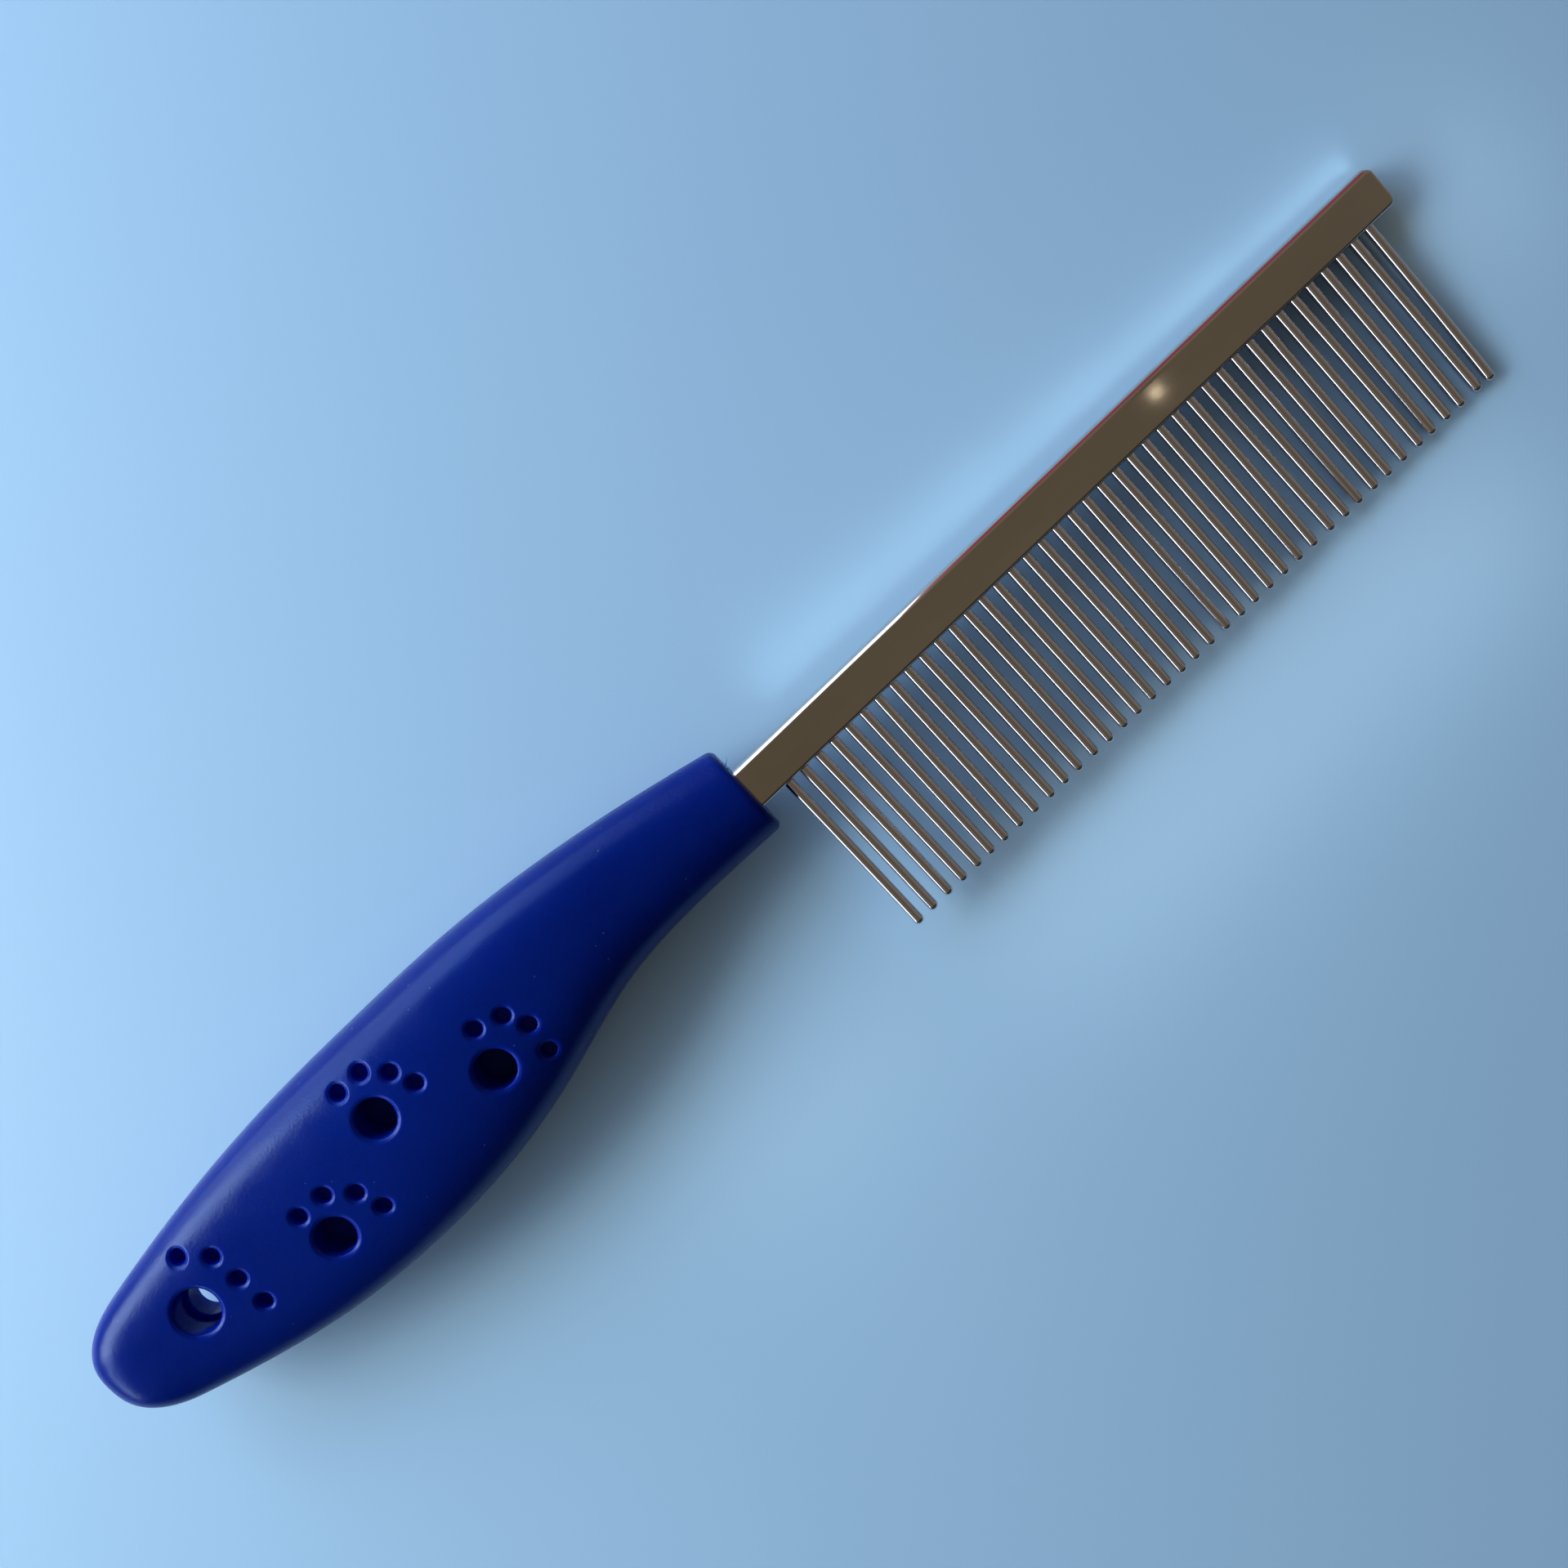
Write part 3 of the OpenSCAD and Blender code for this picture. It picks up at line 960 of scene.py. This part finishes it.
def table_top():
    """Pale blue smooth table."""
    material, tree, shader = new_material("pale_table")
    tint = ramp(tree, noise(tree, TABLE_SCALE, 3.0), TABLE_BLUES)
    tree.links.new(tint, shader.inputs["Base Color"])
    shader.inputs["Roughness"].default_value = TABLE_ROUGHNESS
    grain = bump(tree, noise(tree, TABLE_GRAIN_SCALE), TABLE_BUMP, TABLE_BUMP_STRENGTH)
    tree.links.new(grain, shader.inputs["Normal"])
    return material


# ---------------------------------------------------------------- floor
# Where the handle's underside is searched for the point that it rests on, in millimetres.
REST_XS, REST_YS = np.linspace(0, 80, 161), np.linspace(-8, 8, 65)
REST_ROUNDS = 12
TABLE_HALF = 1.5


def resting_plane():
    """The plane that the comb lies on: it touches the handle's underside, the far corner of
    the bar and the tip of the last pin. Returns a point on it and its upward normal."""
    gx, gy = np.meshgrid(REST_XS, REST_YS)
    under = np.stack([gx.ravel(), gy.ravel(), -skin_z(gx, gy).ravel()], 1)
    corner = np.array([BAR_END_X, BAR_Y - BAR_HALF_WIDTH, bar_low[2]])
    corner += np.array([-1, 1, 0]) * BAR_PIN_EDGE_R
    tip = np.array([(last_pin_low[0] + last_pin_high[0]) / 2, PIN_TIP_Y + PIN_TIP_LEN, -PIN_R])
    normal = np.array([0.0, 0.0, 1.0])
    for _ in range(REST_ROUNDS):
        touch = under[np.argmin(under @ normal)]
        normal = np.cross(corner - touch, tip - touch)
        normal /= np.linalg.norm(normal) * np.sign(normal[2])
    return touch, normal


def build_floor(material):
    """The table, tilted so that the comb rests on it."""
    touch, normal = resting_plane()
    half = TABLE_HALF
    mesh = bpy.data.meshes.new("table")
    corners = [(-half, -half, 0), (half, -half, 0), (half, half, 0), (-half, half, 0)]
    mesh.from_pydata(corners, [], [(0, 1, 2, 3)])
    mesh.materials.append(material)
    floor = bpy.data.objects.new("table", mesh)
    tilt = Vector((0, 0, 1)).rotation_difference(Vector(normal)).to_matrix().to_4x4()
    floor.matrix_world = Matrix.Translation(Vector(touch) * MM) @ tilt
    bpy.context.scene.collection.objects.link(floor)
    return floor


# ---------------------------------------------------------------- camera and light
# Place, direction to the back and direction up, in metres in the CAD frame.
CAMERA_PLACE = Vector((0.0925, 0.0167, 0.1800))
CAMERA_BACK = Vector((0.0171, 0.1102, 0.9938))
CAMERA_UP = Vector((0.6913, 0.7168, -0.0913))
SENSOR_MM = 36.0
LENS_MM = 36.056
CAMERA_NEAREST = 0.01


def build_camera():
    """The camera at the photograph's viewing angle."""
    data = bpy.data.cameras.new("camera")
    data.sensor_width = SENSOR_MM
    data.lens = LENS_MM
    data.clip_start = CAMERA_NEAREST
    camera = bpy.data.objects.new("camera", data)
    back = CAMERA_BACK.normalized()
    right = CAMERA_UP.cross(back).normalized()
    up = back.cross(right)
    turn = Matrix((right, up, back)).transposed().to_4x4()
    camera.matrix_world = Matrix.Translation(CAMERA_PLACE) @ turn
    bpy.context.scene.collection.objects.link(camera)
    bpy.context.scene.camera = camera


# A wall of windows: its bearing from the collar and its distance in metres.
WALL_FACING_DEG = 126.0
WALL_DISTANCE = 0.42
# Windows in that wall: bearings of the two sides and heights of sill and top, in degrees as seen
# from the collar, then watts per square metre and colour.
WINDOWS = {
    "window": ((132, 165), (16, 37), 49, (0.96, 1.0, 0.965)),
    "window_left": ((164, 198), (24, 38), 28, (0.62, 0.78, 1.0)),
    "window_right": ((96, 132), (24, 35), 28, (0.62, 0.78, 1.0)),
    "low_wall": ((96, 136), (0, 24), 17, (0.76, 0.87, 1.0)),
    "window_far_right": ((80, 96), (0, 46), 10, (0.6, 0.78, 1.0)),
}
# A small lamp overhead, placed by where its reflection is seen on the bar.
LAMP_DIRECTION = Vector((0.309, -0.089, 0.947))
LAMP_SEEN_AT = Vector((0.1507, -0.0002, 0.0016))
LAMP_DISTANCE, LAMP_SIZE, LAMP_POWER = 1.5, 0.01, 0.0007
LAMP_COLOUR = (1.0, 0.86, 0.62)


def area_light(name, stand, target, size_x, size_y, power, colour):
    """A rectangular light at stand that faces target."""
    data = bpy.data.lights.new(name, "AREA")
    data.shape = "RECTANGLE"
    data.size, data.size_y = size_x, size_y
    data.energy = power
    data.color = colour
    light = bpy.data.objects.new(name, data)
    toward = Vector(target) - Vector(stand)
    turn = toward.to_track_quat("-Z", "Y").to_matrix().to_4x4()
    light.matrix_world = Matrix.Translation(Vector(stand)) @ turn
    bpy.context.scene.collection.objects.link(light)
    return light


def hide_light(light):
    """Keeps a light out of sight and out of reflections."""
    light.visible_camera = False
    light.visible_glossy = False


# The window's light thrown on the table by the bar's back: a row of narrow lights along it. They
# start so many millimetres from the collar, face that far down, and are as bright as the bar's
# height above the table times THROWN_POWER.
THROWN_PARTS = 5
THROWN_FROM_COLLAR = 9.0
THROWN_DROP, THROWN_SPREAD = math.radians(40), math.radians(76)
THROWN_POWER = 2.5
THROWN_COLOUR = (0.86, 1.0, 0.97)
# Softer light that the steel throws past the pins' tips, towards the handle's belly and past the
# far end: the two ends along the comb and the middle across it, in millimetres, then watts.
SOFT_RISE, SOFT_WIDTH = 14.0, 16.0
SOFT_COLOUR = (1.0, 0.95, 0.85)
SOFT_LIGHTS = {
    "tips_light": ((92.0, 176.0), PIN_TIP_Y - 12.0, 0.0026),
    "belly_light": ((46.0, 80.0), PIN_TIP_Y - 9.0, 0.0008),
    "far_light": ((190.0, 196.0), -8.0, 0.0004),
}


def build_thrown_light():
    """Strips of light that face away from the bar's back, down to the table, stronger where
    the bar stands higher above it, and softer light from above beside the pins."""
    touch, normal = resting_plane()
    y = (BAR_Y + BAR_HALF_WIDTH) * MM
    ends = np.linspace(COLLAR_X + THROWN_FROM_COLLAR, BAR_END_X, THROWN_PARTS + 1) * MM
    aim = Vector((0, math.cos(THROWN_DROP), -math.sin(THROWN_DROP)))
    for i, (start, end) in enumerate(zip(ends, ends[1:])):
        stand = Vector(((start + end) / 2, y, 0))
        height = (Vector(stand) - Vector(touch) * MM).dot(Vector(normal))
        power = THROWN_POWER * height * (end - start)
        light = area_light(
            f"thrown_light_{i + 1}", stand, stand + aim, end - start, MM, power, THROWN_COLOUR
        )
        light.data.spread = THROWN_SPREAD
        hide_light(light)
    for name, ((start, end), y, power) in SOFT_LIGHTS.items():
        stand = Vector(((start + end) / 2, y, SOFT_RISE)) * MM
        below = stand - Vector((0, 0, 1))
        length, width = (end - start) * MM, SOFT_WIDTH * MM
        hide_light(area_light(name, stand, below, length, width, power, SOFT_COLOUR))


def build_light():
    """Windows along a wall to one side, and one small warm lamp overhead."""
    centre = Vector((COLLAR_X * MM, 0, 0))
    facing = math.radians(WALL_FACING_DEG)
    away = Vector((math.cos(facing), math.sin(facing), 0))
    sideways = Vector((-away.y, away.x, 0))
    for name, (bearings, heights, strength, colour) in WINDOWS.items():
        start, end = (
            WALL_DISTANCE * math.tan(math.radians(bearing - WALL_FACING_DEG))
            for bearing in bearings
        )
        low, high = (WALL_DISTANCE * math.tan(math.radians(height)) for height in heights)
        foot = centre + sideways * (start + end) / 2 + Vector((0, 0, (low + high) / 2))
        power = strength * (end - start) * (high - low)
        area_light(
            name, foot + away * WALL_DISTANCE, foot, end - start, high - low, power, colour
        )
    area_light(
        "ceiling_lamp",
        LAMP_SEEN_AT + LAMP_DIRECTION * LAMP_DISTANCE,
        LAMP_SEEN_AT,
        LAMP_SIZE,
        LAMP_SIZE,
        LAMP_POWER,
        LAMP_COLOUR,
    )


# Colours of the room from the horizon to straight above: on the side away from +X, and then
# straight towards it.
ROOM_COLOURS = [
    (0.0, (0.15, 0.135, 0.12)),
    (0.5, (0.21, 0.18, 0.14)),
    (0.75, (0.2, 0.17, 0.125)),
    (0.9, (0.125, 0.105, 0.074)),
    (1.0, (0.125, 0.105, 0.072)),
]
FAR_COLOURS = [(0.0, (0.2, 0.18, 0.16)), (0.7, (0.19, 0.17, 0.14)), (0.9, (0.13, 0.11, 0.078))]
# How much of that is left, from the pins' side at 0 to the back's side at 1.
SIDE_LIGHT = [(0.0, 0.2), (0.22, 0.2), (0.36, 1), (1.0, 1)]
# The glow beside the window's end: bearings it runs between, its colours, and how much of it
# there is along those bearings and from the horizon up.
GLOW_FROM_DEG, GLOW_TO_DEG = 30, 96
GLOW_COLOURS = [
    (0.0, (0.27, 0.055, 0.08)),
    (0.75, (0.32, 0.065, 0.095)),
    (0.86, (0.6, 0.5, 0.55)),
    (0.95, (1.3, 1.3, 1.4)),
]
GLOW_REACH = [(0.3, 0), (0.45, 1), (0.96, 1), (1.0, 0)]
GLOW_HEIGHT = [(0.0, 0), (0.06, 1), (0.5, 1), (0.62, 0)]


def build_world():
    """Dim brown room, darker on the pins' side, with a pink and white glow low down beside the
    window's end."""
    world = bpy.data.worlds.new("room")
    bpy.context.scene.world = world
    world.use_nodes = True
    tree = world.node_tree
    where = add_node(tree, "ShaderNodeTexCoord")
    split = add_node(tree, "ShaderNodeSeparateXYZ")
    tree.links.new(where.outputs["Generated"], split.inputs["Vector"])
    x, y, z = (split.outputs[axis] for axis in "XYZ")
    room = mix(tree, x, ramp(tree, z, ROOM_COLOURS), ramp(tree, z, FAR_COLOURS))
    side = spread(tree, y, 0.0, 1.0, -1.0, 1.0)
    shaded = mix(tree, 1.0, room, ramp(tree, side, SIDE_LIGHT), "MULTIPLY")
    azimuth = add_node(tree, "ShaderNodeMath", operation="ARCTAN2")
    tree.links.new(y, azimuth.inputs[0])
    tree.links.new(x, azimuth.inputs[1])
    glow_ends = math.radians(GLOW_FROM_DEG), math.radians(GLOW_TO_DEG)
    turn = spread(tree, azimuth.outputs[0], 0.0, 1.0, *glow_ends)
    reach, height = ramp(tree, turn, GLOW_REACH), ramp(tree, z, GLOW_HEIGHT)
    amount = mix(tree, 1.0, reach, height, "MULTIPLY")
    light = mix(tree, amount, shaded, ramp(tree, turn, GLOW_COLOURS))
    tree.links.new(light, tree.nodes["Background"].inputs["Color"])


# ---------------------------------------------------------------- assembly
def main():
    """Every piece with its body, in place of its CAD node, then the table, the camera and the
    light.
    """
    plastic = handle_plastic("handle_plastic", HANDLE_SPECULAR)
    bore_plastic = handle_plastic("handle_plastic_bore", BORE_SPECULAR)
    bar_steel = polished_steel("bar_steel", BAR_FINISH)
    pin_steel = polished_steel("pin_steel", PIN_FINISH)
    handle = build_handle(plastic, bore_plastic)
    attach(handle, "root")
    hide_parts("handle")
    flash = build_flash(plastic)
    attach(flash, "root")
    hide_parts("handle")
    bar = build_bar(bar_steel)
    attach(bar, "root")
    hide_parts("bar")
    for name, pin in build_pins(pin_steel):
        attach(pin, "root")
        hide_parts(name)
    build_floor(table_top())
    build_camera()
    build_light()
    build_thrown_light()
    build_world()
    bpy.context.scene.view_settings.view_transform = "Standard"


main()
